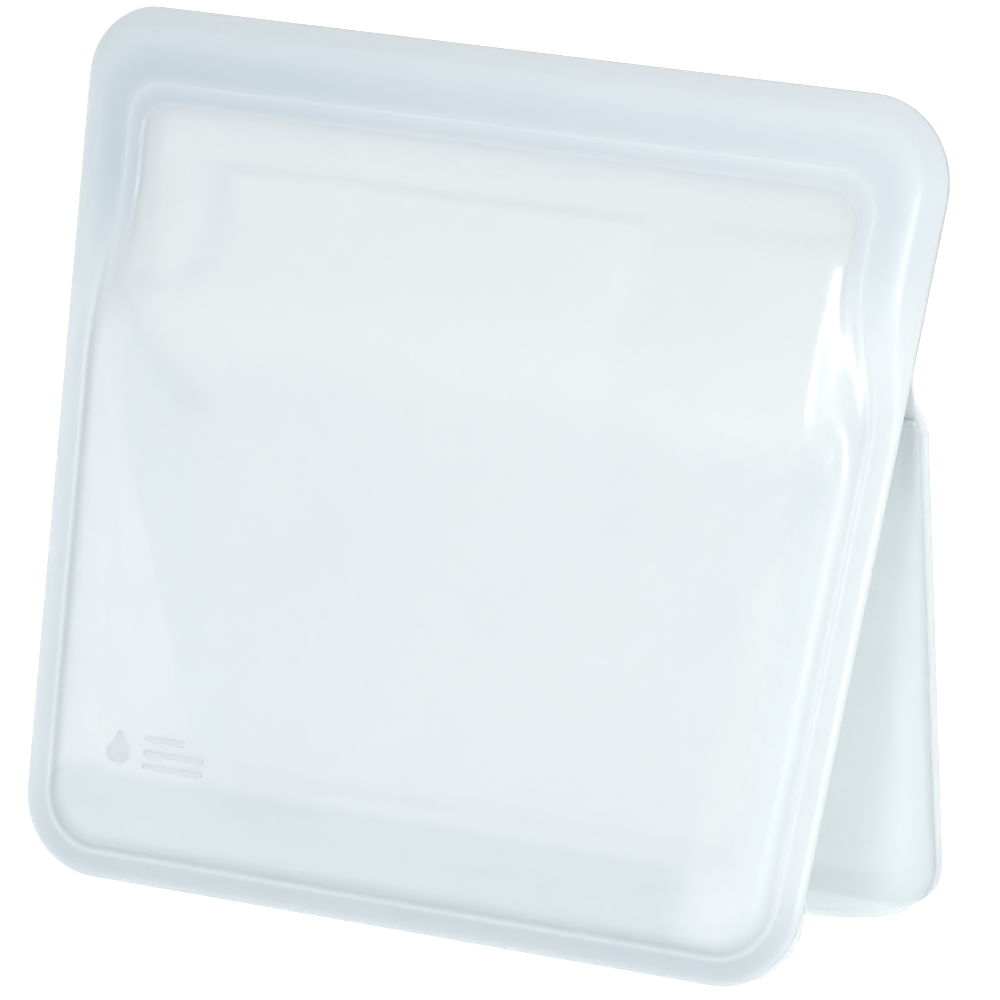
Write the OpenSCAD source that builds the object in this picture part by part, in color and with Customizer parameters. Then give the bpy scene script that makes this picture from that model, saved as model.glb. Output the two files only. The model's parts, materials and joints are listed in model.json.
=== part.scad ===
// Stand-up silicone storage bag: a leaning front sheet, a back sheet that splits
// into a mouth flap and a back leg, and a folded gusset between the two legs.
// Frame: +Z up, -Y front, origin on the ground in the middle of the footprint.

/* [Outline] */
// Width across the top edge
top_w = 203; // [190:1:220]
// Width across the bottom edge, before its corners are rounded
base_w = 179.5; // [165:1:190]
// Length of the front sheet, measured up its slope
slant = 183.4; // [175:1:200]
// Distance between the outer edges of the front foot and the back foot
base_depth = 76; // [70:1:80]
// Backward lean of the front sheet, in degrees
front_lean = 13.92; // [12:0.5:16]
// Forward lean of the back leg, in degrees
back_lean = 17.3; // [15:0.5:19]
// Radius of the two bottom corners
bottom_r = 18; // [14:1:20]
// Radius of the two top corners
top_r = 12; // [8:1:15]

/* [Sheets and rims] */
// Thickness of the thin sheets
wall = 1.4; // [1:0.1:1.6]
// Width of the flat rim round each leg
rim_w = 5.3; // [4:0.1:6.5]
// Thickness of the rim
rim_t = 2.4; // [2:0.1:2.8]
// How far each sheet stands out from the middle of its rim
proud = 4; // [3.5:0.1:4.4]
// Width of the sloping shoulder between the rim and the sheet
shoulder_w = 10; // [7:0.5:12]

/* [Mouth and seal] */
// Height up the slope at which the two mouth flaps start
mouth_w = 136; // [134:0.5:140]
// Thickness of each half of the pressed seal
lip_t = 5.3; // [5:0.1:5.8]
// Width of the seal zone along the top
lip_top_w = 20; // [18:0.5:22]
// Width of the seal zone down each side
lip_side_w = 16.1; // [15:0.5:18]
// Width of the slope on the outer edge of the seal zone
lip_bevel = 5; // [3:0.5:6]
// Distance from the outer edge to the middle of the seal rib
rib_inset = 11; // [10:0.5:11.5]
// Width of the seal rib
rib_w = 2.8; // [2:0.1:3]
// Height of the seal rib
rib_h = 2.1; // [1.5:0.1:2.2]
// Height up the slope at which the side seams start
seam_w = 114; // [110:1:118]

/* [Gusset] */
// Height of the gusset's centre crease above the ground
crease_z = 15.5; // [12:0.5:18]
// Half length of the centre crease
crease_x = 57; // [50:1:62]
// Thickness of the folded gusset
gusset_t = 1.2; // [1:0.1:1.4]
// Space left between the two halves of the floor, for the fold
crease_gap = 9.6; // [9.2:0.1:11]

/* [Hidden] */

// Gap between parts that move against each other
clear = 0.15;
// Reach of the cutting shapes, past the whole bag and past one edge
far = 400;
over = 1;
// Thickness of the flat skins that a sloping shoulder is hulled from
skirt = 0.1;
outline_fn = 64;
window_fn = 48;
window_r = 6;
// Extra depth under each foot, cut off level with the ground
foot_spare = 0.5;
// The back sheet stands in from the outer face of its half of the seal
back_stand_in = 0.5;

// Seal: the channel, its room round the rib, and the height at which each starts
channel_w = 7;
channel_t = 3.1;
channel_start = mouth_w + 1.5;
channel_end_wall = 1;
rib_clear = 0.4;
rib_start = mouth_w + 8;

// Raised mark
mark_h = 0.5;
mark_x = -68;
mark_w = 27;
drop_r = 2.4;
drop_tip_r = 0.3;
line_x = 5;
line_h = 1;
line_gap = 2.6;
line_longest = 15;
line_step = 4;

// Gusset: hinge lines of the floor, and how far the folds stand in from the edges
fold_stand_off = 2;
fold_height = 4;
floor_x = 70;
floor_start = 0.9;
floor_side_gap = 1.5;
gusset_inset = 5;
web_top = 122;
web_corner = 20;
web_foot_x = 74;
web_foot_w = 7;
web_stand_off = 2;
web_foot_stand_off = 2.5;
crease_side = 0.8;
crease_top_in = 8;
crease_top_shift = 1.5;
crease_end_rise = 1;

// Widening of the bag per millimetre of slope
taper = (top_w - base_w) / 2 / slant;
// Length up the back leg at which it reaches the back of the seal
leg_angle = front_lean + back_lean;
bend_u = (base_depth * cos(front_lean) - lip_t) / sin(leg_angle);
// The same bend, measured up the slope of the front sheet
bend_w = base_depth * sin(front_lean) + bend_u * cos(leg_angle);
back_taper = taper * bend_w / bend_u;

sheet_color = [0.86, 0.93, 0.95];
rim_color = [0.78, 0.86, 0.91];
seal_color = [0.70, 0.80, 0.88];
gusset_color = [0.82, 0.92, 0.96];

// Frame of the front sheet: x across, y into the bag, z up the slope
module front_frame() {
    translate([0, -base_depth / 2, 0])
        rotate([-front_lean, 0, 0])
            children();
}

// Frame of the back leg: x across, y into the bag, z up the leg
module back_frame() {
    translate([0, base_depth / 2, 0])
        rotate([back_lean, 0, 0])
            mirror([0, 1, 0])
                children();
}

function front_point(x, t, w) = [
    x,
    -base_depth / 2 + w * sin(front_lean) + t * cos(front_lean),
    w * cos(front_lean) - t * sin(front_lean)
];

function back_point(x, t, u) = [
    x,
    base_depth / 2 - u * sin(back_lean) - t * cos(back_lean),
    u * cos(back_lean) - t * sin(back_lean)
];

// Half width of each leg at a height up its slope
function front_half(w) = base_w / 2 + taper * w;
function back_half(u) = base_w / 2 + back_taper * u;

// Middle of a corner circle that touches the sloping side
function corner_x(k, height, r) = base_w / 2 + k * height - r * sqrt(1 + k * k);

// Stands a flat shape up and gives it thickness, from depth t0 to depth t1
module plate(t0, t1) {
    translate([0, t1, 0])
        rotate([90, 0, 0])
            linear_extrude(t1 - t0)
                children();
}

module front_outline() {
    hull()
        for (s = [-1, 1]) {
            translate([s * corner_x(taper, bottom_r, bottom_r), bottom_r])
                circle(r = bottom_r, $fn = outline_fn);
            translate([s * corner_x(taper, slant - top_r, top_r), slant - top_r])
                circle(r = top_r, $fn = outline_fn);
        }
}

module back_outline() {
    hull() {
        for (s = [-1, 1])
            translate([s * corner_x(back_taper, bottom_r, bottom_r), bottom_r])
                circle(r = bottom_r, $fn = outline_fn);
        translate([-back_half(bend_u), bend_u - over])
            square([2 * back_half(bend_u), over - clear]);
    }
}

// The band of the front sheet's plane between two heights up the slope
module band(w0, w1) {
    translate([-far / 2, w0])
        square([far, w1 - w0]);
}

// Inside edge of the seal zone, with rounded upper corners
module sheet_window() {
    offset(r = window_r, $fn = window_fn)
        offset(delta = -window_r)
            intersection() {
                offset(delta = -lip_side_w) front_outline();
                band(-over, slant - lip_top_w);
            }
}

// Domed sheet: a flat middle, standing proud, with a sloping shoulder all round
module tray_block() {
    hull() {
        plate(-rim_t / 2, -rim_t / 2 + wall)
            offset(delta = -rim_w)
                children();
        plate(-proud, -proud + skirt)
            offset(delta = -rim_w - shoulder_w)
                children();
    }
}

module rim_ring(top) {
    plate(-rim_t / 2, rim_t / 2)
        intersection() {
            difference() {
                union() {
                    children();
                    translate([0, -foot_spare])
                        intersection() {
                            children();
                            band(0, rim_w);
                        }
                }
                offset(delta = -rim_w) children();
            }
            band(-over, top);
        }
}

module above_ground() {
    intersection() {
        children();
        translate([-far / 2, -far / 2, 0])
            cube(far);
    }
}

// Front leg, side seams and bend: the body that stands still
module front_panel_lower() {
    color(sheet_color)
        front_frame()
            difference() {
                intersection() {
                    tray_block() front_outline();
                    plate(-far / 4, far / 4) band(-1, mouth_w - clear);
                }
                translate([0, wall, 0])
                    tray_block() front_outline();
                plate(-lip_t, lip_t)
                    difference() {
                        band(seam_w, mouth_w + over);
                        sheet_window();
                    }
            }
}

module front_rim() {
    color(rim_color)
        above_ground()
            front_frame()
                rim_ring(seam_w) front_outline();
}

module seam_area(side, w0) {
    intersection() {
        difference() {
            front_outline();
            sheet_window();
        }
        band(w0, mouth_w - clear);
        translate([side > 0 ? 0 : -far, 0])
            square(far);
    }
}

module side_seam(side) {
    color(rim_color)
        front_frame() {
            plate(-proud, rim_t / 2) seam_area(side, seam_w);
            plate(rim_t / 2, lip_t) seam_area(side, bend_w + clear);
        }
}

module side_seam_left() side_seam(-1);

module side_seam_right() side_seam(1);

module hinge_band() {
    color(sheet_color)
        front_frame()
            plate(lip_t - back_stand_in - wall, lip_t - back_stand_in)
                intersection() {
                    sheet_window();
                    band(bend_w + clear, mouth_w - clear);
                }
}

// Small raised mark: a drop and three level lines
module care_mark() {
    color(rim_color)
        front_frame()
            plate(-proud - mark_h, -proud) {
                hull() {
                    translate([mark_x, mark_w])
                        circle(r = drop_r, $fn = 40);
                    translate([mark_x, mark_w + 2 * drop_r])
                        circle(r = drop_tip_r, $fn = 20);
                }
                for (i = [0:2])
                    translate([mark_x + line_x, mark_w - drop_r + i * line_gap])
                        square([line_longest - i * line_step, line_h]);
            }
}

// Front mouth flap
module lip_block() {
    intersection() {
        hull() {
            plate(-lip_t * 0.4, -clear) front_outline();
            plate(-lip_t, -lip_t + skirt) offset(delta = -lip_bevel) front_outline();
        }
        plate(-far / 4, far / 4) band(mouth_w + clear, slant + over);
    }
}

module lip_window() {
    plate(-far / 4, far / 4)
        sheet_window();
}

module front_panel_upper() {
    color(sheet_color)
        front_frame()
            plate(-proud, -proud + wall)
                intersection() {
                    sheet_window();
                    band(mouth_w + clear, slant);
                }
}

module front_lip() {
    color(seal_color)
        front_frame()
            difference() {
                lip_block();
                lip_window();
            }
}

// A strip that follows the top and both sides, centred on the seal rib
module seal_strip(width, start) {
    intersection() {
        difference() {
            offset(delta = -rib_inset + width / 2) front_outline();
            offset(delta = -rib_inset - width / 2) front_outline();
        }
        band(start, slant);
    }
}

module seal_rib() {
    color(seal_color)
        front_frame()
            plate(-clear, -clear + rib_h)
                seal_strip(rib_w, rib_start);
}

// Back mouth flap
module back_panel_upper() {
    color(sheet_color)
        front_frame()
            plate(lip_t - back_stand_in - wall, lip_t - back_stand_in)
                intersection() {
                    sheet_window();
                    band(mouth_w + clear, slant);
                }
}

module back_lip() {
    color(seal_color)
        front_frame()
            difference() {
                mirror([0, 1, 0]) lip_block();
                lip_window();
                plate(-over, channel_t) seal_strip(channel_w, channel_start);
            }
}

module seal_channel() {
    color(rim_color)
        front_frame()
            difference() {
                plate(clear, channel_t) seal_strip(channel_w, channel_start);
                plate(-over, rib_h + rib_clear)
                    seal_strip(rib_w + 2 * rib_clear, channel_start + channel_end_wall);
            }
}

// Back leg
module back_panel_lower() {
    color(sheet_color)
        back_frame()
            difference() {
                tray_block() back_outline();
                translate([0, wall, 0])
                    tray_block() back_outline();
            }
}

module back_rim() {
    color(rim_color)
        above_ground()
            back_frame()
                rim_ring(bend_u - rim_w) back_outline();
}

// Gusset floor: two halves that rise from a hinge line by each foot to a centre crease
front_fold = front_point(0, fold_stand_off, fold_height);
back_fold = back_point(0, fold_stand_off, fold_height);
crease_mid = [0, (front_fold[1] + back_fold[1]) / 2, crease_z];

module floor_half(fold) {
    rise = crease_mid - fold;
    reach = norm(rise) - crease_gap / 2;
    color(gusset_color)
        translate(fold)
            rotate([atan2(rise[2], rise[1]), 0, 0])
                linear_extrude(gusset_t, center = true)
                    polygon([
                        [-floor_x, floor_start],
                        [floor_x, floor_start],
                        [crease_x - floor_side_gap, reach],
                        [floor_side_gap - crease_x, reach]
                    ]);
}

module floor_front() floor_half(front_fold);

module floor_back() floor_half(back_fold);

// Gusset webs: two halves on each side, folded inwards along an upright crease
module skin(points) {
    hull()
        for (p = points)
            translate(p)
                sphere(d = gusset_t, $fn = 16);
}

module web(side, top, corner, foot, crease_y) {
    crease_top = [side * (front_half(web_top) - crease_top_in), crease_y + crease_top_shift, top[2]];
    crease_end = [side * (crease_x + floor_side_gap), crease_y, crease_z + crease_end_rise];
    color(gusset_color) {
        skin([top, crease_top, crease_end]);
        skin([top, corner, crease_end]);
        skin([corner, foot, crease_end]);
    }
}

module web_front(side) {
    web(
        side,
        front_point(side * (front_half(web_top) - gusset_inset), web_stand_off, web_top),
        front_point(side * (front_half(web_corner) - gusset_inset), web_stand_off, web_corner),
        front_point(side * web_foot_x, web_foot_stand_off, web_foot_w),
        -crease_side
    );
}

module web_back(side) {
    web(
        side,
        back_point(side * (back_half(web_top) - gusset_inset), web_stand_off, web_top),
        back_point(side * (back_half(web_corner) - gusset_inset), web_stand_off, web_corner),
        back_point(side * web_foot_x, web_foot_stand_off, web_foot_w),
        crease_side
    );
}

module web_left_front() web_front(-1);

module web_left_back() web_back(-1);

module web_right_front() web_front(1);

module web_right_back() web_back(1);

front_panel_lower();
front_rim();
side_seam_left();
side_seam_right();
hinge_band();
care_mark();
front_panel_upper();
front_lip();
seal_rib();
back_panel_upper();
back_lip();
seal_channel();
back_panel_lower();
back_rim();
floor_front();
floor_back();
web_left_front();
web_left_back();
web_right_front();
web_right_back();
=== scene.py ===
"""Looks of a stand-up silicone storage bag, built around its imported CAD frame.

Lengths are in millimetres until make_mesh() turns them into metres. Camera, floor and light are in metres.
Two flat frames are used: the front sheet's, with x across, w up its slope and h out towards the front, and
the back leg's, with x across, u up its slope and h out towards the back.
"""

import json
import math

import bmesh
import bpy
import numpy as np
from mathutils import Matrix, Vector


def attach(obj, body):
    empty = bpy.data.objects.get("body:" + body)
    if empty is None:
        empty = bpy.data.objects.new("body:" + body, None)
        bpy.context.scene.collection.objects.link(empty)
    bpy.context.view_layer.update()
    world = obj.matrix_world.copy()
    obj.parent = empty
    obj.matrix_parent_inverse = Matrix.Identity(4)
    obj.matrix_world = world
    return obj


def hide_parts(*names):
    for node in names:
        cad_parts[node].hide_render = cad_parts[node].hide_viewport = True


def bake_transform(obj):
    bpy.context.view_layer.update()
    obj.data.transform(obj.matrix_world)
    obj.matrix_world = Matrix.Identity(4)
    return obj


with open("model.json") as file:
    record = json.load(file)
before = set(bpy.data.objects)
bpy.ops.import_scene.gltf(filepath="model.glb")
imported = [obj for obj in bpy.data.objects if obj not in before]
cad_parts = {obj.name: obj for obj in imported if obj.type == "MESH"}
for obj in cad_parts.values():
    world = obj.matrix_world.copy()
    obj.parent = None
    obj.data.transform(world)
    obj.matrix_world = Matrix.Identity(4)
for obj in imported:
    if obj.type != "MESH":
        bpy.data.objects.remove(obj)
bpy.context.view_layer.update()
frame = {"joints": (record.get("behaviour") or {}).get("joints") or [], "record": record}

MM = 0.001

# ---------------------------------------------------------------- sizes
TOP_W = 203.0
BASE_W = 179.5
SLANT = 183.4
# Corner radii, left and right
FRONT_CORNERS = {"lower": (18.0, 18.0), "upper": (14.5, 19.0)}
BACK_CORNERS = {"lower": (13.0, 13.0), "upper": (14.5, 19.0)}
# How quickly a corner tightens towards the middle of the sheet
CORNER_TIGHTENING = {"lower": 17.0, "upper": 22.0}
LIP_TOP_W = 20.0
LIP_SIDE_W = 16.1
SPLIT_W = 133.5
RIB_START = 144.0
CHANNEL_START = 138.0
GUSSET_INSET = 1.5
GUSSET_TOP = 118.0
GUSSET_T = 1.2
CREASE_X = 57.0
CREASE_Z = 15.5
DOME = 1.9
DOME_REACH = 16.0

TAPER = (TOP_W - BASE_W) / 2 / SLANT
SLOPE = math.hypot(1, TAPER)

# Leans and feet, from the frame's joints and mounts
joint_at = {j["name"]: np.array(j["pos_m"]) / MM for j in frame["joints"]}
foot_at = {m["name"]: np.array(m["pos_m"]) / MM for m in frame["record"]["mounts"]}
across = joint_at["back_flap_open"] - joint_at["front_flap_open"]
bend = joint_at["back_leg_fold"]
front_foot = foot_at["front_foot"]
back_foot = foot_at["back_foot"]
FRONT_LEAN = math.atan2(-across[2], across[1])
BACK_LEAN = math.atan2(back_foot[1] - bend[1], bend[2])
BEND_U = math.hypot(back_foot[1] - bend[1], bend[2])
BEND_W = (bend[1] - front_foot[1]) * math.sin(FRONT_LEAN) + bend[2] * math.cos(FRONT_LEAN)


def front_place(x, w, h):
    """Points of the front sheet's frame in the row frame; h is out towards the front."""
    s, c = math.sin(FRONT_LEAN), math.cos(FRONT_LEAN)
    return np.stack([x, front_foot[1] + w * s - h * c, w * c + h * s], -1)


def back_place(x, u, h):
    """Points of the back leg's frame in the row frame; h is out towards the back."""
    s, c = math.sin(BACK_LEAN), math.cos(BACK_LEAN)
    return np.stack([x, back_foot[1] - u * s + h * c, u * c + h * s], -1)


def smooth(value, low, high):
    """Rises smoothly from 0 at the low value to 1 at the high one."""
    t = np.clip((value - low) / (high - low), 0, 1)
    return t * t * (3 - 2 * t)


def fade(value, low, high):
    """Falls smoothly from 1 at the low value to 0 at the high one."""
    return smooth(-value, -high, -low)


def window(value, up, down):
    """1 between two soft edges, each given as the values where it starts and ends."""
    return smooth(value, *up) * fade(value, *down)


def mix(a, b, share):
    return a + (b - a) * share


# ---------------------------------------------------------------- profiles
# Each face is drawn from the outer edge inwards as (distance in, height out, depth of colour), once for the
# rim of a leg and once for the seal along the top. Both have the same number of points, so one can turn
# into the other.
PROFILE_STEPS = 3
# How far a curve swings between its points: 0 is straight
SWING = 0.6
# In the outer faces' depth column the colour follows the thickness, with painted light: lighter on the
# rim's ridge at 5.3 mm and the seal's at 16.3 mm, as a painted highlight, and deeper at 6.5 mm on the rim,
# as painted shade where it turns up into the middle.
OUTER = {
    "rim": [(0, 0, 0.5), (0.3, 0.85, 0.7), (1.2, 1.17, 0.85), (2.8, 1.2, 0.95), (4.2, 1.2, 1.0),
            (4.8, 1.22, 0.85), (5.3, 1.31, 0.55), (5.8, 1.3, 0.8), (6.5, 1.48, 1.1), (7.7, 2.0, 0.5),
            (9.6, 2.65, 0.2), (12.8, 3.2, 0.12), (17.0, 3.55, 0.1)],
    "seal": [(0, 0.03, 0.5), (0.5, 1.1, 0.6), (2.4, 2.95, 0.7), (4.8, 4.4, 0.75), (7.5, 4.95, 0.85),
             (10.5, 5.05, 1.0), (14.0, 4.95, 1.05), (15.8, 4.92, 0.9), (16.3, 4.97, 0.8),
             (17.0, 4.87, 0.9), (19.8, 4.62, 0.95), (20.9, 4.2, 0.25), (25.0, 4.05, 0.12)],
}
FRONT_INNER = {
    "rim": [(0, 0, 0.5), (0.3, -0.85, 0.6), (1.2, -1.17, 0.6), (2.8, -1.2, 0.6), (4.2, -1.2, 0.6),
            (4.8, -1.2, 0.6), (5.2, -1.15, 0.6), (5.8, -0.8, 0.5), (6.8, 0.0, 0.4), (8.2, 0.8, 0.3),
            (9.8, 1.35, 0.2), (12.5, 1.8, 0.1), (17.0, 2.15, 0.0)],
    "seal": [(0, 0.03, 0.2), (0.5, 0.03, 0.3), (2.4, 0.03, 0.4), (4.8, 0.03, 0.5), (7.0, 0.03, 0.6),
             (10.5, 0.03, 0.8), (14.4, 0.03, 0.8), (15.5, 0.03, 0.7), (16.6, 0.03, 0.7), (17.6, 0.1, 0.7),
             (19.2, 1.2, 0.6), (20.8, 2.6, 0.5), (25.0, 2.65, 0.0)],
}
BACK_INNER = {
    "rim": FRONT_INNER["rim"],
    "seal": [(0, 0.03, 0.2), (3.0, 0.03, 0.4), (7.2, 0.03, 0.6), (7.8, 0.2, 0.6), (8.1, 2.9, 0.7),
             (11.0, 3.1, 0.7), (13.9, 2.9, 0.7), (14.2, 0.2, 0.6), (14.8, 0.03, 0.6), (17.6, 0.1, 0.7),
             (19.2, 1.2, 0.6), (20.8, 2.6, 0.5), (25.0, 2.65, 0.0)],
}


def through(points, steps=PROFILE_STEPS):
    """A smooth curve through the points, with the given number of steps from each to the next."""
    p = np.array(points, float)
    ends = np.vstack([2 * p[0] - p[1], p, 2 * p[-1] - p[-2]])
    slopes = SWING * (ends[2:] - ends[:-2]) / 2
    found = []
    for a, b, ta, tb in zip(p[:-1], p[1:], slopes[:-1], slopes[1:]):
        for t in np.arange(steps) / steps:
            t2, t3 = t * t, t * t * t
            found.append((2 * t3 - 3 * t2 + 1) * a + (t3 - 2 * t2 + t) * ta
                         + (3 * t2 - 2 * t3) * b + (t3 - t2) * tb)
    return np.array(found + [p[-1]])


# ---------------------------------------------------------------- outline of one sheet
SIDE_STEPS = {"lower": 44, "upper": 22}
ARC_STEPS = 16
EDGE_STEPS = 64
# Heights between which the rim turns into the seal
LEFT_TURN_W = (108, 150)
RIGHT_TURN_W = (112, 148)
BACK_TURN_W = (110, 130)


def front_seal_share(w, side):
    """How far the rim has turned into the seal at a height, on each side."""
    return smooth(w, *(LEFT_TURN_W if side < 0 else RIGHT_TURN_W))


def back_seal_share(w, side):
    return smooth(w, *BACK_TURN_W)


def rim_only(w, side):
    return np.zeros_like(w)


def seal_only(w, side):
    return np.ones_like(w)


def half_outline(half, corners, rim_in, seal_in, share, cut=SPLIT_W, sides=None):
    """One ring of a half sheet: the left side from the cut outwards, the edge, and the right side back."""
    steps = sides or SIDE_STEPS[half]
    distance = rim_in if half == "lower" else seal_in
    tilt = math.atan(TAPER)
    turns = np.linspace(-tilt, -math.pi / 2 if half == "lower" else math.pi / 2, ARC_STEPS + 1)
    found = []
    for side, outer_radius in zip((-1, 1), corners[half]):
        radius = outer_radius * math.exp(-distance / CORNER_TIGHTENING[half])
        if half == "lower":
            centre_w, edge_in = rim_in + radius, rim_in
        else:
            centre_w, edge_in = SLANT - seal_in - radius, seal_in * LIP_SIDE_W / LIP_TOP_W
        centre_x = BASE_W / 2 + TAPER * centre_w - (edge_in + radius) * SLOPE
        w = np.linspace(cut, centre_w - radius * math.sin(tilt), steps + 1)
        inset = mix(rim_in, seal_in * LIP_SIDE_W / LIP_TOP_W, share(w, side))
        x = BASE_W / 2 + TAPER * w - inset * SLOPE
        found.append((np.append(x, centre_x + radius * np.cos(turns[1:])) * side,
                      np.append(w, centre_w + radius * np.sin(turns[1:]))))
    (left_x, left_w), (right_x, right_w) = found
    edge_x = np.linspace(left_x[-1], right_x[-1], EDGE_STEPS + 1)[1:-1]
    edge_w = np.linspace(left_w[-1], right_w[-1], EDGE_STEPS + 1)[1:-1]
    return np.concatenate([left_x, edge_x, right_x[::-1]]), np.concatenate([left_w, edge_w, right_w[::-1]])


def coons(left, right, first, last):
    """Fills the inside of four edges: left and right run with i, first and last with j."""
    def along(points):
        steps = np.linalg.norm(np.diff(points, axis=0), axis=1)
        return np.concatenate([[0], np.cumsum(steps)]) / steps.sum()
    v = ((along(left) + along(right)) / 2)[:, None, None]
    u = ((along(first) + along(last)) / 2)[None, :, None]
    ruled = (1 - v) * first[None] + v * last[None] + (1 - u) * left[:, None] + u * right[:, None]
    corners = ((1 - u) * (1 - v) * first[0] + u * (1 - v) * first[-1]
               + (1 - u) * v * last[0] + u * v * last[-1])
    return ruled - corners


def planform(half, corners, face, share):
    """Rings from the edge inwards, then the middle: arrays of x, w, and each profile's height and depth."""
    rim, seal = through(face["rim"]), through(face["seal"])
    rings = []
    for low, high in zip(rim, seal):
        x, w = half_outline(half, corners, low[0], high[0], share)
        values = [np.full_like(x, value) for value in (low[1], high[1], low[2], high[2])]
        rings.append(np.stack([x, w, *values], -1))
    rings = np.array(rings)
    inner = rings[-1][:, :2]
    turn = SIDE_STEPS[half] + ARC_STEPS // 2
    left, right = inner[:turn + 1][::-1], inner[-turn - 1:]
    first = inner[turn:len(inner) - turn]
    share_x = (first[:, 0] - first[0, 0]) / (first[-1, 0] - first[0, 0])
    last = np.stack([mix(left[-1, 0], right[-1, 0], share_x), np.full(len(first), SPLIT_W)], -1)
    middle = coons(left, right, first, last)
    values = np.broadcast_to([rim[-1][1], seal[-1][1], rim[-1][2], seal[-1][2]], (*middle.shape[:2], 4))
    return rings, np.concatenate([middle, values], -1)


# ---------------------------------------------------------------- shape of the sheets' middles
def rise(x, w):
    """How full the dome is at a point of the middle: 0 at its edge, 1 well inside."""
    in_side = BASE_W / 2 + TAPER * w - OUTER["rim"][-1][0] - np.abs(x)
    in_low, in_high = w - OUTER["rim"][-1][0], SLANT - OUTER["seal"][-1][0] - w
    full = 1.0
    for distance in (in_side, in_low, in_high):
        full = full * (1 - np.exp(-np.maximum(distance, 0) / DOME_REACH))
    return full


def oval(x, w, at, size, turn=0.0):
    """1 at the middle of an oval, falling smoothly to 0 outside it."""
    c, s = math.cos(turn), math.sin(turn)
    a = ((x - at[0]) * c + (w - at[1]) * s) / size[0]
    b = ((w - at[1]) * c - (x - at[0]) * s) / size[1]
    return np.exp(-(a * a + b * b))


def stroke(x, w, points, width):
    """1 along a line through the points, falling smoothly to 0 beside it."""
    nearest = np.full(np.shape(x), np.inf)
    for (ax, aw), (bx, bw) in zip(points[:-1], points[1:]):
        length = (bx - ax) ** 2 + (bw - aw) ** 2
        t = np.clip(((x - ax) * (bx - ax) + (w - aw) * (bw - aw)) / length, 0, 1)
        nearest = np.minimum(nearest, np.hypot(x - ax - t * (bx - ax), w - aw - t * (bw - aw)))
    return np.exp(-(nearest / width) ** 2)


# Slack folds beside the left side seam: a curved one, and a longer crease below it
CRESCENT = ((-63.0, 149.0), (-62.2, 141.0), (-63.5, 132.5), (-69.5, 125.8), (-79.0, 125.0))
CRESCENT_WIDTH = 3.0
LONG_CREASE = ((-84.0, 124.5), (-78.5, 115.0), (-70.0, 107.5), (-60.0, 101.0))
LONG_CREASE_WIDTH = 2.6
SLACK_DEPTH = 0.3
# Painted shade: how much the slack folds darken the sheet's colour
SLACK_SHADE = 0.09


def slack(x, w):
    """The slack folds in the left of the front sheet."""
    return np.maximum(stroke(x, w, CRESCENT, CRESCENT_WIDTH), stroke(x, w, LONG_CREASE, LONG_CREASE_WIDTH))


# Full part of the front sheet: its upper edge, its right edge, which leans, and its soft other sides
FULL_HEIGHT = 0.8
FULL_TOP_W = (149.9, 152.5)
FULL_CORNER = (37.0, 152.0)
FULL_RIGHT_LEAN = 0.12
FULL_RIGHT_SOFT = 4.0
FULL_LEFT_X = (-80, -52)
FULL_LOW_W = (78, 125)


def fullness(x, w):
    """1 in the full part of the front sheet, 0 above its upper edge and right of its corner."""
    corner_x, corner_w = FULL_CORNER
    right_edge = corner_x - FULL_RIGHT_LEAN * np.maximum(corner_w - w, 0)
    edge = fade(w, *FULL_TOP_W) * fade(x - right_edge, -FULL_RIGHT_SOFT, 0)
    return edge * smooth(x, *FULL_LEFT_X) * smooth(w, *FULL_LOW_W)


def ramp(distance, width, softness=0.5):
    """Rises evenly from 0 to the width over that width, with rounded ends."""
    rising = np.logaddexp(0, distance / softness)
    level = np.logaddexp(0, (distance - width) / softness)
    return softness * (rising - level)


# The swell beside the right side seam falls evenly to its foot, and its fall widens downwards
SWELL_SLOPE = 0.31
SWELL_WIDENING_W = (114, 148)
SWELL_FOOT_X = {"top": 84.4, "low": 88.0}
SWELL_WIDTH = {"top": 5.2, "low": 9.5}
SWELL_START_X = (25, 65)
SWELL_LOW_W = (104, 116)
SWELL_TOP_W = (147, 156)


def swell(x, w):
    """The full stretch of the sheet beside the right side seam, with an even fall towards the seam."""
    share = fade(w, *SWELL_WIDENING_W)
    foot_x = mix(SWELL_FOOT_X["top"], SWELL_FOOT_X["low"], share)
    width = mix(SWELL_WIDTH["top"], SWELL_WIDTH["low"], share)
    ends = smooth(x, *SWELL_START_X) * window(w, SWELL_LOW_W, SWELL_TOP_W)
    return SWELL_SLOPE * ramp(foot_x - x, width) * ends


POLISH_X = ((60, 70), (88, 90))
POLISH_W = ((104, 110), (150, 156))


def polish(x, w):
    """1 where the sheet beside the right side seam is polished, as its middle is."""
    return window(x, *POLISH_X) * window(w, *POLISH_W)


# A dent at the swell's lower end, and a bulge between the curved slack fold and the left side seam
DENT_DEPTH = 0.55
DENT = {"at": (84.3, 112.0), "size": (1.5, 3.6), "turn": 0.1}
BULGE_HEIGHT = 0.35
BULGE = {"at": (-72.0, 138.5), "size": (3.0, 8.0), "turn": -0.35}


def front_shape(x, w):
    """Height that the filled, handled front sheet adds to its profile."""
    height = DOME * rise(x, w) + FULL_HEIGHT * fullness(x, w) + swell(x, w)
    height = height - DENT_DEPTH * oval(x, w, **DENT)
    height = height - SLACK_DEPTH * slack(x, w) + BULGE_HEIGHT * oval(x, w, **BULGE)
    return height


# What lies behind the front sheet deepens its colour, up to a strip at the right where nothing does
BEHIND_TONE = 0.06
BEHIND_W = ((10, 16), (104, 118))
STRIP_START = (66, 20)
STRIP_LEAN = 0.1
STRIP_FLARE = 11
STRIP_FLARE_W = (75, 108)
STRIP_SOFT = 1.2
# The gusset's floor behind the foot, and the line of its edge
FOOT_TONE = 0.2
FOOT_TOP_W = (22.5, 24)
FOOT_END_X = (60, 72)
FOOT_LINE_TONE = 0.12
FOOT_LINE = ((-66, 23.0), (66, 23.0))
FOOT_LINE_WIDTH = 0.5


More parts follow.
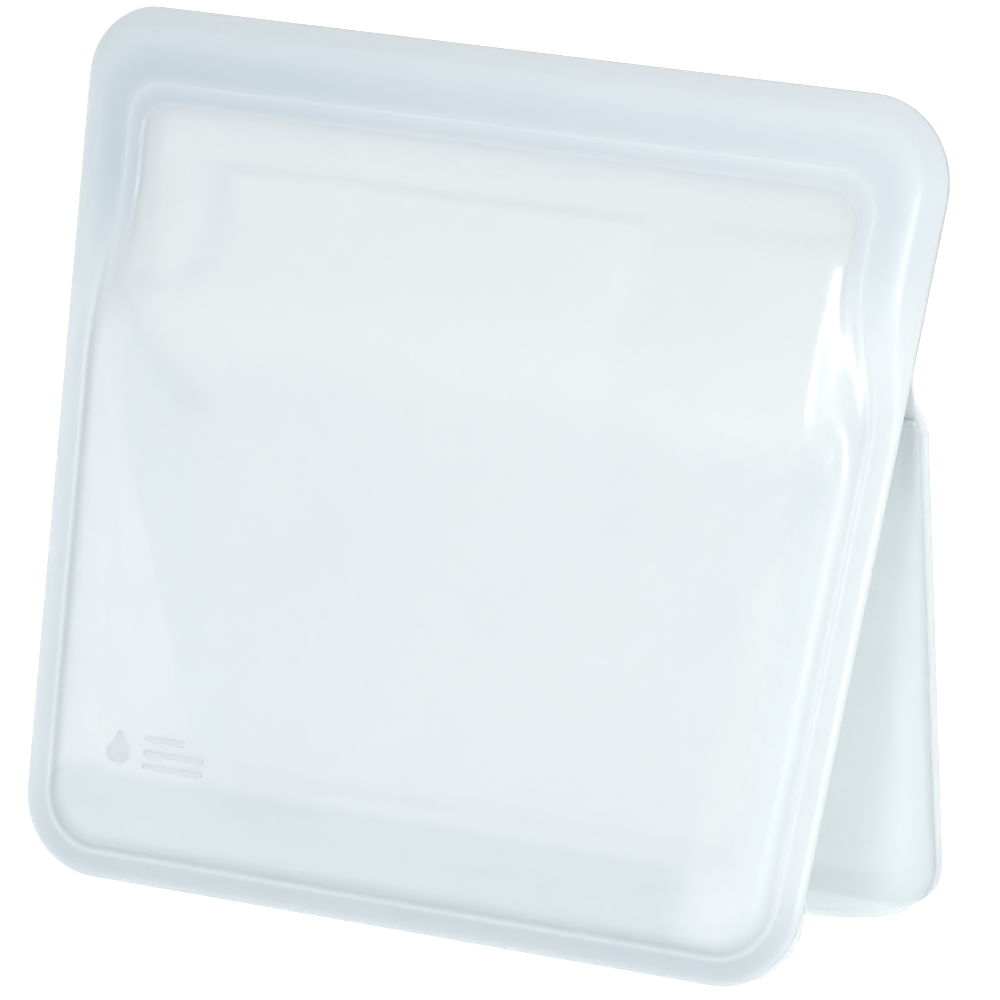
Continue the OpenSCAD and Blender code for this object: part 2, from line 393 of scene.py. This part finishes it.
def front_tone_and_shade(x, w):
    """Depth of colour added to the front sheet by what lies behind it, and painted shade along its slack
    folds.
    """
    start_x, start_w = STRIP_START
    strip_edge = start_x + STRIP_LEAN * (w - start_w) + STRIP_FLARE * smooth(w, *STRIP_FLARE_W)
    behind = BEHIND_TONE * fade(x - strip_edge, -STRIP_SOFT, STRIP_SOFT) * window(w, *BEHIND_W)
    foot = FOOT_TONE * fade(w, *FOOT_TOP_W) * fade(x, *FOOT_END_X)
    foot = foot + FOOT_LINE_TONE * stroke(x, w, FOOT_LINE, FOOT_LINE_WIDTH)
    # The slack folds' term is painted shade in the folds.
    return behind + foot + SLACK_SHADE * slack(x, w)


def back_shape(x, w):
    return DOME * rise(x, w)


# Levels of colour depth for the rims and the seal. Their changes from side to side and towards the foot are
# painted shade: deeper on the left and along the foot, lighter on the right, as the light falls from the
# upper right.
FRONT_RIM_TONE_AND_SHADE = {"left": 0.42, "right": 0.12, "foot": 0.6}
BACK_RIM_TONE_AND_SHADE = {"sides": 0.2, "foot": 0.5}
SEAL_TONE_AND_SHADE = {"middle": 0.66, "left_more": 0.16, "low_right_share": 0.55}
RIM_TONE_X = (-30, 30)
RIM_FOOT_W = (4, 26)
SEAL_FADE_W = (120, 162)
SEAL_FADE_X = (60, 84)


def front_rim_depth_and_shade(x, w):
    """The rim's depth of colour, with painted shade: deepest along the foot, and deeper on the left than on
    the right, where less light falls.
    """
    sides = mix(FRONT_RIM_TONE_AND_SHADE["left"], FRONT_RIM_TONE_AND_SHADE["right"], smooth(x, *RIM_TONE_X))
    return mix(sides, FRONT_RIM_TONE_AND_SHADE["foot"], fade(w, *RIM_FOOT_W))


def seal_depth_and_shade(x, w):
    """The seal's deep colour, from its thickness, with painted shade: deepest at the upper left, and fading
    down the right side, where more light falls.
    """
    level = SEAL_TONE_AND_SHADE["middle"] - SEAL_TONE_AND_SHADE["left_more"] * x / (TOP_W / 2)
    right = mix(SEAL_TONE_AND_SHADE["low_right_share"], 1, smooth(w, *SEAL_FADE_W))
    return level * mix(1, right, smooth(x, *SEAL_FADE_X))


# The back rim's depth of colour, with painted shade: deeper along the foot, where less light falls.
def back_rim_depth_and_shade(x, w):
    return mix(BACK_RIM_TONE_AND_SHADE["sides"], BACK_RIM_TONE_AND_SHADE["foot"], fade(w, *RIM_FOOT_W))


# ---------------------------------------------------------------- mesh helpers
# Points closer than this, in metres, are welded
WELD = 2e-6
# Outermost rings of a sheet, which go round its edge
EDGE_RINGS = 3 * PROFILE_STEPS
# Share of the way in from the edge over which the middle's tone sets in
TONE_SETS_IN = (0.62, 0.78)


def weave(rows, closed=False):
    """Quads between neighbouring points of a grid of indices."""
    rows = np.asarray(rows)
    if closed:
        rows = np.concatenate([rows, rows[:1]], 0)
    a, b, c, d = rows[:-1, :-1], rows[:-1, 1:], rows[1:, 1:], rows[1:, :-1]
    return np.stack([a, b, c, d], -1).reshape(-1, 4)


def make_mesh(name, points, faces, thickness, depth, gloss=0.0, cap=()):
    """A welded, smoothly shaded object from points in millimetres; the cap's faces get the second slot."""
    mesh = bpy.data.meshes.new(name)
    every = [list(map(int, f)) for f in [*faces, *cap]]
    mesh.from_pydata((np.asarray(points) * MM).tolist(), [], every)
    mesh.polygons.foreach_set("material_index", [0] * (len(every) - len(cap)) + [1] * len(cap))
    for key, values in (("thickness", thickness), ("depth", depth), ("gloss", gloss)):
        spread = np.broadcast_to(values, len(points)).astype(np.float32)
        mesh.attributes.new(key, "FLOAT", "POINT").data.foreach_set("value", spread)
    shape = bmesh.new()
    shape.from_mesh(mesh)
    bmesh.ops.remove_doubles(shape, verts=shape.verts, dist=WELD)
    bmesh.ops.recalc_face_normals(shape, faces=shape.faces)
    for edge in shape.edges:
        edge.smooth = len({face.material_index for face in edge.link_faces}) == 1
    shape.to_mesh(mesh)
    shape.free()
    mesh.shade_smooth()
    piece = bpy.data.objects.new(name, mesh)
    bpy.context.scene.collection.objects.link(piece)
    return piece


def no_tone(x, w):
    return np.zeros_like(x)


def sheet_points(half, corners, inner, share, shape, to_space, rim_depth, middle_tone=no_tone):
    """One half of a sheet, with both faces: points, faces, values for the material, and the grids."""
    points, faces, thick, depth, gloss, grids = [], [], [], [], [], []
    forms = [planform(half, corners, face, share) for face in (OUTER, inner)]
    for part in (0, 1):
        sides = []
        for form in forms:
            grid = form[part]
            x, w = grid[..., 0], grid[..., 1]
            turned = np.where(x < 0, share(w, -1), share(w, 1))
            h = mix(grid[..., 2], grid[..., 3], turned) + shape(x, w)
            # The rim and seal levels carry painted shade, deeper on the left and along the foot.
            tone = mix(grid[..., 4] * rim_depth(x, w), grid[..., 5] * seal_depth_and_shade(x, w), turned)
            steps_in = np.arange(len(grid)) / (len(grid) - 1)
            inside = 1.0 if part else smooth(steps_in, *TONE_SETS_IN)[:, None]
            sides.append((x, w, h, tone + inside * middle_tone(x, w)))
        gap = np.abs(sides[0][2] - sides[1][2])
        if part == 0:
            # The outer edge is seen end on, so it looks as thick as the band inside it
            gap[:EDGE_RINGS] = gap[EDGE_RINGS]
        for x, w, h, tone in sides:
            index = len(points) + np.arange(x.size).reshape(x.shape)
            points.extend(to_space(x, w, h).reshape(-1, 3))
            thick.extend(gap.reshape(-1))
            depth.extend(tone.reshape(-1))
            gloss.extend(np.maximum(polish(x, w), part).reshape(-1))
            faces.extend(weave(index))
            grids.append(index)
    return np.array(points), faces, (np.array(thick), np.array(depth), np.array(gloss)), grids


def cut_cap(grids):
    """Faces that close the cut between the outer and the inner face of a half sheet."""
    ring_out, ring_in, mid_out, mid_in = grids
    faces = []
    for column in (0, -1):
        faces.extend(weave(np.stack([ring_out[:, column], ring_in[:, column]])))
    faces.extend(weave(np.stack([mid_out[-1], mid_in[-1]])))
    return faces


def seal_sweep(name, profile, start):
    """A closed bar with a section of (distance in, depth) points, up both sides and along the top."""
    loops = []
    for distance, depth in profile:
        x, w = half_outline("upper", FRONT_CORNERS, distance, distance, seal_only, cut=start,
                            sides=SEAL_SIDE_STEPS)
        loops.append(front_place(x, w, np.full_like(x, -depth)))
    loops = np.array(loops)
    index = np.arange(loops.shape[0] * loops.shape[1]).reshape(loops.shape[:2])
    faces = [list(f) for f in weave(index, closed=True)]
    faces += [list(index[:, 0]), list(index[:, -1])]
    return make_mesh(name, loops.reshape(-1, 3), faces, SEAL_BAR_T, SEAL_BAR_TONE)


# ---------------------------------------------------------------- materials
THIN = (0.730, 0.770, 0.780)
THICK = (0.405, 0.472, 0.525)
# Painted light: the gusset's silicone is lighter than the sheets', standing in for the light that falls on
# its webs from the right.
GUSSET_THIN_LIT = (0.83, 0.905, 0.92)
SILICONE_IOR = 1.41
# How far light spreads under the surface, in metres
SPREAD = 0.0015
# Cloudiness: noise cells to the metre, and how much thickness and colour vary with it
CLOUD_SCALE = 26
CLOUD_THICKNESS = 0.16
CLOUD_COLOUR = 0.12
# Moulded surface: a fine grain over slow ripples
GRAIN_SCALE = 900
GRAIN_SHARE = 0.35
GRAIN_ROUGHNESS = 0.12
RIPPLE_SCALE = 140
BUMP_DISTANCE = 0.0002
# The sheets' middles are polished by the mould, and the bands round them are satin
SATIN_COAT = 0.05
POLISHED_COAT = 0.7
COAT_ROUGHNESS = 0.16


def silicone(name, thin, thick, alpha_per_mm, roughness, bump, polished=False):
    """Translucent silicone: deeper in colour and less clear where it is thicker, with a moulded grain."""
    material = bpy.data.materials.new(name)
    material.use_nodes = True
    nodes, links = material.node_tree.nodes, material.node_tree.links
    shader = nodes["Principled BSDF"]

    def node(kind, **values):
        made = nodes.new(kind)
        for key, value in values.items():
            setattr(made, key, value)
        return made

    def maths(operation, a, b=None):
        made = node("ShaderNodeMath", operation=operation)
        for slot, value in enumerate((a, b)):
            if value is None:
                continue
            if isinstance(value, (int, float)):
                made.inputs[slot].default_value = value
            else:
                links.new(value, made.inputs[slot])
        return made.outputs[0]

    def noise(scale, detail):
        place = node("ShaderNodeTexCoord")
        made = node("ShaderNodeTexNoise")
        made.inputs["Scale"].default_value = scale
        made.inputs["Detail"].default_value = detail
        links.new(place.outputs["Object"], made.inputs["Vector"])
        return made.outputs["Fac"]

    thickness = node("ShaderNodeAttribute", attribute_name="thickness").outputs["Fac"]
    depth = node("ShaderNodeAttribute", attribute_name="depth").outputs["Fac"]
    cloud = noise(CLOUD_SCALE, 3)
    uneven = maths("ADD", maths("MULTIPLY", cloud, CLOUD_THICKNESS), 1 - CLOUD_THICKNESS / 2)
    varied = maths("MULTIPLY", thickness, uneven)
    colour = node("ShaderNodeMix", data_type="RGBA")
    colour.inputs["A"].default_value = (*thin, 1)
    colour.inputs["B"].default_value = (*thick, 1)
    stain = maths("MULTIPLY", maths("SUBTRACT", cloud, 0.5), CLOUD_COLOUR)
    links.new(maths("ADD", depth, stain), colour.inputs["Factor"])
    links.new(colour.outputs["Result"], shader.inputs["Base Color"])
    clear = maths("POWER", math.exp(-alpha_per_mm), varied)
    links.new(maths("SUBTRACT", 1.0, clear), shader.inputs["Alpha"])
    shader.inputs["Coat Weight"].default_value = SATIN_COAT
    if polished:
        gloss = node("ShaderNodeAttribute", attribute_name="gloss").outputs["Fac"]
        coat = maths("ADD", maths("MULTIPLY", gloss, POLISHED_COAT - SATIN_COAT), SATIN_COAT)
        links.new(coat, shader.inputs["Coat Weight"])
    grain = noise(GRAIN_SCALE, 2)
    rough = maths("ADD", maths("MULTIPLY", grain, GRAIN_ROUGHNESS), roughness - GRAIN_ROUGHNESS / 2)
    links.new(rough, shader.inputs["Roughness"])
    surface = node("ShaderNodeBump")
    surface.inputs["Strength"].default_value = bump
    surface.inputs["Distance"].default_value = BUMP_DISTANCE
    height = maths("ADD", maths("MULTIPLY", grain, GRAIN_SHARE), noise(RIPPLE_SCALE, 3))
    links.new(height, surface.inputs["Height"])
    links.new(surface.outputs["Normal"], shader.inputs["Normal"])
    shader.inputs["IOR"].default_value = SILICONE_IOR
    shader.inputs["Subsurface Weight"].default_value = 1.0
    shader.inputs["Subsurface Radius"].default_value = (1.0, 1.0, 1.0)
    shader.inputs["Subsurface Scale"].default_value = SPREAD
    shader.inputs["Coat Roughness"].default_value = COAT_ROUGHNESS
    shader.inputs["Coat IOR"].default_value = SILICONE_IOR
    return material


def dress(piece, material):
    """Gives a piece its material; its second slot is for the faces where a sheet is cut in two."""
    piece.data.materials.append(material)
    if any(face.material_index for face in piece.data.polygons):
        piece.data.materials.append(cut_silicone)
    return piece


sheet_silicone = silicone("silicone_sheet", THIN, THICK, 0.65, 0.36, 0.10, polished=True)
gusset_silicone = silicone("silicone_gusset", GUSSET_THIN_LIT, THICK, 0.45, 0.42, 0.10)
seal_silicone = silicone("silicone_seal", THIN, THICK, 0.30, 0.34, 0.08)
cut_silicone = silicone("silicone_cut", THIN, THICK, 0.004, 0.5, 0.05)


def make_front_sheet():
    points, faces, values = np.zeros((0, 3)), [], np.zeros((3, 0))
    for half in ("lower", "upper"):
        p, f, v, _ = sheet_points(half, FRONT_CORNERS, FRONT_INNER, front_seal_share, front_shape,
                                  front_place, front_rim_depth_and_shade, front_tone_and_shade)
        faces += [np.array(q) + len(points) for q in f]
        points = np.concatenate([points, p])
        values = np.concatenate([values, v], 1)
    piece = make_mesh("front_sheet", points, faces, *values)
    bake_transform(piece)
    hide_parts("front_panel_lower", "front_rim", "side_seam_left", "side_seam_right",
                "front_panel_upper", "front_lip")
    return dress(piece, sheet_silicone)


# ---------------------------------------------------------------- back sheet
# Heights between which the back sheet leaves the back leg's plane for the seal's
LEG_TO_SEAL_W = (114, 130)


def back_space(x, w, h):
    """The back sheet follows the back leg, then bends smoothly into the plane of the seal."""
    turned = smooth(w, *LEG_TO_SEAL_W)[..., None]
    seal = front_place(x, w, -h)
    leg = back_place(x, w * BEND_U / BEND_W, h)
    return mix(leg, seal, turned)


def back_half(half):
    """The mesh of the back sheet's lower or upper half."""
    p, f, v, grids = sheet_points(half, BACK_CORNERS, BACK_INNER, back_seal_share, back_shape,
                                  back_space, back_rim_depth_and_shade)
    return make_mesh("back_sheet_" + half, p, f, *v, cap=cut_cap(grids))


def make_back_sheets():
    lower = back_half("lower")
    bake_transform(lower)
    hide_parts("back_panel_lower", "back_rim", "hinge_band")
    upper = back_half("upper")
    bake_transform(upper)
    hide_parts("back_panel_upper", "back_lip")
    dress(lower, sheet_silicone)
    dress(upper, sheet_silicone)


# ---------------------------------------------------------------- seal
SEAL_SIDE_STEPS = 26
SEAL_BAR_T = 2.5
SEAL_BAR_TONE = 0.4
# Sections of the two bars, as (distance in from the seal's edge, depth behind the seal's plane)
RIB = [(9.7, -0.3), (9.9, 0.7), (9.5, 1.3), (10.1, 1.95), (11.0, 2.15), (11.9, 1.95), (12.5, 1.3),
       (12.1, 0.7), (12.3, -0.3)]
CHANNEL = [(7.9, 0.3), (8.9, 0.25), (9.1, 0.8), (8.7, 1.4), (9.2, 2.35), (11.0, 2.6), (12.8, 2.35),
           (13.3, 1.4), (12.9, 0.8), (13.1, 0.25), (14.1, 0.3), (14.0, 3.1), (11.0, 3.3), (8.0, 3.1)]


def make_seal():
    bars = (("rib", RIB, RIB_START, "front_flap", "seal_rib"),
            ("channel", CHANNEL, CHANNEL_START, "back_flap", "seal_channel"))
    for name, section, start, body, node in bars:
        bar = seal_sweep("moulded_" + name, section, start)
        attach(bar, body)
        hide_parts(node)
        dress(bar, seal_silicone)


# ---------------------------------------------------------------- gusset
GUSSET_SIDE_STEPS = 70
PLEAT_STEPS = 14
# How far behind each sheet's plane the gusset's edges are, and its lowest point
GUSSET_BEHIND = 0.9
GUSSET_LOWEST = 0.9
# The crease down the gusset's sides: its lean from upright, its corner, and how it spreads at the top
CREASE_LEAN = 0.163
CREASE_R = 5.0
CREASE_TOP_DROP = 2
CREASE_SPREAD = 16
CREASE_SPREAD_Z = (104, 119)
# Where the crease is from front to back at the floor, and how far forward it leans with height
CREASE_Y = -0.4
CREASE_Y_LEAN = 0.031
# How far a pleat bellies out, and how much more round a corner, which reaches some points either way
BELLY = 2.0
CORNER_BELLY = 6.5
CORNER_REACH = 14.0
BELLY_FADE = 28
BELLY_POWER = 0.7


def gusset_edge(corners):
    return half_outline("lower", corners, GUSSET_INSET, 0, rim_only, cut=GUSSET_TOP,
                        sides=GUSSET_SIDE_STEPS)


def gusset_crease():
    """The crease: down each side, round a tight corner and along the floor."""
    top_z = GUSSET_TOP * math.cos(FRONT_LEAN) - CREASE_TOP_DROP
    side_z = np.linspace(top_z, CREASE_Z + CREASE_R, GUSSET_SIDE_STEPS + 1)
    side_x = CREASE_X + CREASE_LEAN * (side_z - CREASE_Z) + CREASE_SPREAD * smooth(side_z, *CREASE_SPREAD_Z)
    angles = np.linspace(0, -math.pi / 2, ARC_STEPS + 1)
    centre = CREASE_X + CREASE_LEAN * CREASE_R - CREASE_R
    arc_x = centre + CREASE_R * np.cos(angles)
    arc_z = CREASE_Z + CREASE_R + CREASE_R * np.sin(angles)
    edge_x = np.linspace(-centre, centre, EDGE_STEPS + 1)[1:-1]
    edge_z = np.full(EDGE_STEPS - 1, CREASE_Z)
    x = np.concatenate([-side_x, -arc_x[1:], edge_x, arc_x[::-1][:-1], side_x[::-1]])
    z = np.concatenate([side_z, arc_z[1:], edge_z, arc_z[::-1][:-1], side_z[::-1]])
    return np.stack([x, CREASE_Y - CREASE_Y_LEAN * (z - CREASE_Z), z], -1)


def gusset_belly(x, w):
    """How far each pleat bellies out between its edge and the crease, as a vector for each edge point."""
    last = len(x) - 1
    along = np.gradient(np.stack([x, w], -1), axis=0)
    out = np.stack([-along[:, 1], np.zeros(last + 1), along[:, 0]], -1)
    out /= np.linalg.norm(out, axis=1)[:, None]
    out *= -np.sign(out[last // 2, 2])
    place = np.arange(last + 1)
    middle = GUSSET_SIDE_STEPS + ARC_STEPS / 2
    corner = np.maximum(np.exp(-((place - middle) / CORNER_REACH) ** 2),
                        np.exp(-((place - last + middle) / CORNER_REACH) ** 2))
    size = (BELLY + CORNER_BELLY * corner) * fade(w, GUSSET_TOP - BELLY_FADE, GUSSET_TOP)
    return out * size[:, None]


def pleat(edge, crease, belly):
    """Rows of points from an edge of the gusset to its crease."""
    rows = []
    for step in range(PLEAT_STEPS + 1):
        v = step / PLEAT_STEPS
        row = mix(edge, crease, v) + belly * (4 * v * (1 - v)) ** BELLY_POWER
        row[:, 2] = np.maximum(row[:, 2], GUSSET_LOWEST)
        rows.append(row)
    return rows


def make_gusset():
    x, w = gusset_edge(FRONT_CORNERS)
    back_x, back_w = gusset_edge(BACK_CORNERS)
    behind = np.full_like(x, -GUSSET_BEHIND)
    crease, belly = gusset_crease(), gusset_belly(x, w)
    front_rows = pleat(front_place(x, w, behind), crease, belly)
    back_rows = pleat(back_space(back_x, back_w, behind), crease, belly)
    grid = np.array(front_rows + back_rows[::-1][1:])
    # Rounds the crease off
    for _ in range(2):
        grid[1:-1] = (grid[:-2] + 2 * grid[1:-1] + grid[2:]) / 4
    index = np.arange(grid.shape[0] * grid.shape[1]).reshape(grid.shape[:2])
    piece = make_mesh("gusset", grid.reshape(-1, 3), weave(index), GUSSET_T, 0.0)
    thicken(piece, GUSSET_T)
    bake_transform(piece)
    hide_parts("floor_front", "floor_back", "web_left_front", "web_left_back", "web_right_front",
                "web_right_back")
    return dress(piece, gusset_silicone)


def thicken(piece, thickness):
    """Gives a sheet its thickness, as real geometry."""
    solid = piece.modifiers.new("thickness", "SOLIDIFY")
    solid.thickness = thickness * MM
    solid.offset = 0
    solid.thickness_clamp = 1.0
    graph = bpy.context.evaluated_depsgraph_get()
    mesh = bpy.data.meshes.new_from_object(piece.evaluated_get(graph))
    piece.modifiers.clear()
    piece.data = mesh
    mesh.shade_smooth()


# ---------------------------------------------------------------- raised mark
MARK_AT = (-68.5, 27.0)
MARK_T = 0.7
MARK_TONE = 0.2
# Rings of a raised shape from its foot inwards, as (size, rise)
MARK_RINGS = ((1.0, -0.3), (0.96, 0.25), (0.8, 0.3), (0.45, 0.3))
MARK_STEPS = 40
DROP_R = 2.7
DROP_TIP = 0.75
DROP_NARROWING = 0.25
LINE_LENGTHS = (15.0, 15.0, 10.0)
LINE_R = 0.6
LINE_GAP = 2.9
FIRST_LINE = (6, -2.2)


def raise_shape(x, w, centre, first):
    """Points and faces of a closed outline raised on the front sheet; first is its first point's number."""
    base_h = OUTER["rim"][-1][1]
    points, rings = [], []
    for size, lift in MARK_RINGS:
        px, pw = mix(centre[0], x, size), mix(centre[1], w, size)
        points.extend(front_place(px, pw, base_h + front_shape(px, pw) + lift))
        rings.append(first + len(rings) * len(x) + np.append(np.arange(len(x)), 0))
    sides = [list(face) for face in weave(np.array(rings))]
    return points, [*sides, list(rings[-1][:-1]), list(rings[0][:-1][::-1])]


def make_mark():
    """A drop and three level lines, raised on the front sheet."""
    turn = np.linspace(0, 2 * math.pi, MARK_STEPS, endpoint=False)
    up = np.maximum(np.sin(turn), 0)
    drop_x = MARK_AT[0] + DROP_R * np.cos(turn) * (1 - DROP_NARROWING * up)
    drop_w = MARK_AT[1] + DROP_R * np.sin(turn) * (1 + DROP_TIP * up ** 6)
    shapes = [(drop_x, drop_w, MARK_AT)]
    for row, length in enumerate(LINE_LENGTHS):
        middle = (MARK_AT[0] + FIRST_LINE[0] + length / 2, MARK_AT[1] + FIRST_LINE[1] + row * LINE_GAP)
        x = middle[0] + np.sign(np.cos(turn)) * (length / 2 - LINE_R) + LINE_R * np.cos(turn)
        shapes.append((x, middle[1] + LINE_R * np.sin(turn), middle))
    points, faces = [], []
    for x, w, middle in shapes:
        more_points, more_faces = raise_shape(x, w, middle, len(points))
        points += more_points
        faces += more_faces
    piece = make_mesh("care_mark_relief", np.array(points), faces, MARK_T, MARK_TONE)
    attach(piece, "front_leg")
    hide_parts("care_mark")
    return dress(piece, sheet_silicone)


# ---------------------------------------------------------------- camera, floor and light
AZIMUTH = math.radians(27.478)
ELEVATION = math.radians(12.919)
ROLL = math.radians(1.837)
DISTANCE = 1.710
LENS = 296.2
SENSOR = 36
FARTHEST = 100
AIM = Vector((0.0, -0.003, 0.088))
AIM_RIGHT = 0.00275
AIM_UP = -0.00344
FLOOR_HALF = 40.0
FLOOR_GREY = 0.55
FLOOR_GLOW = 0.66
# The sky is brightest in this direction and dimmest opposite to it
BRIGHT_SIDE = (0.68, 0.05, 0.73)
SKY_DIM = 0.74
SKY_BRIGHT = 1.08


def direction(azimuth, elevation):
    """From the bag towards a side: the azimuth turns to the right from straight in front."""
    return Vector((math.sin(azimuth) * math.cos(elevation), -math.cos(azimuth) * math.cos(elevation),
                   math.sin(elevation)))


def make_camera():
    back = direction(AZIMUTH, ELEVATION)
    level = Vector((math.cos(AZIMUTH), math.sin(AZIMUTH), 0))
    upright = back.cross(level)
    right = level * math.cos(ROLL) + upright * math.sin(ROLL)
    up = upright * math.cos(ROLL) - level * math.sin(ROLL)
    camera = bpy.data.objects.new("camera", bpy.data.cameras.new("camera"))
    camera.data.lens = LENS
    camera.data.sensor_width = SENSOR
    camera.data.clip_end = FARTHEST
    place = AIM + back * DISTANCE + right * AIM_RIGHT + up * AIM_UP
    camera.matrix_world = Matrix.Translation(place) @ Matrix((right, up, back)).transposed().to_4x4()
    bpy.context.scene.collection.objects.link(camera)
    bpy.context.scene.camera = camera


def make_stage():
    floor_mesh = bpy.data.meshes.new("floor")
    corners = [(x * FLOOR_HALF, y * FLOOR_HALF, 0) for x, y in ((-1, -1), (1, -1), (1, 1), (-1, 1))]
    floor_mesh.from_pydata(corners, [], [(0, 1, 2, 3)])
    floor = bpy.data.objects.new("floor", floor_mesh)
    bpy.context.scene.collection.objects.link(floor)
    paint = bpy.data.materials.new("floor_paint")
    paint.use_nodes = True
    shader = paint.node_tree.nodes["Principled BSDF"]
    shader.inputs["Base Color"].default_value = (FLOOR_GREY, FLOOR_GREY, FLOOR_GREY, 1)
    shader.inputs["Roughness"].default_value = 0.9
    shader.inputs["Specular IOR Level"].default_value = 0.1
    shader.inputs["Emission Color"].default_value = (1, 1, 1, 1)
    shader.inputs["Emission Strength"].default_value = FLOOR_GLOW
    floor_mesh.materials.append(paint)


def area_light(name, azimuth, elevation, distance, size, power):
    """A soft light that faces the bag from a given side."""
    lamp = bpy.data.lights.new(name, "AREA")
    lamp.shape = "RECTANGLE"
    lamp.size, lamp.size_y = size
    lamp.energy = power
    way = direction(math.radians(azimuth), math.radians(elevation))
    light = bpy.data.objects.new(name, lamp)
    light.location = AIM + way * distance
    light.rotation_euler = way.to_track_quat("Z", "Y").to_euler()
    light.visible_camera = False
    bpy.context.scene.collection.objects.link(light)


def make_light():
    world = bpy.data.worlds.new("world")
    bpy.context.scene.world = world
    world.use_nodes = True
    nodes, links = world.node_tree.nodes, world.node_tree.links
    sky = nodes["Background"]
    sky.inputs["Color"].default_value = (1, 1, 1, 1)
    way = nodes.new("ShaderNodeTexCoord")
    facing = nodes.new("ShaderNodeVectorMath")
    facing.operation = "DOT_PRODUCT"
    facing.inputs[1].default_value = BRIGHT_SIDE
    level = nodes.new("ShaderNodeMapRange")
    level.inputs["From Min"].default_value = -1
    level.inputs["To Min"].default_value = SKY_DIM
    level.inputs["To Max"].default_value = SKY_BRIGHT
    links.new(way.outputs["Generated"], facing.inputs[0])
    links.new(facing.outputs["Value"], level.inputs["Value"])
    links.new(level.outputs["Result"], sky.inputs["Strength"])
    area_light("strip", azimuth=14, elevation=13, distance=1.3, size=(0.165, 0.235), power=6.0)
    bpy.context.scene.view_settings.view_transform = "Standard"


make_camera()
make_stage()
make_light()
make_front_sheet()
make_back_sheets()
make_seal()
make_gusset()
make_mark()
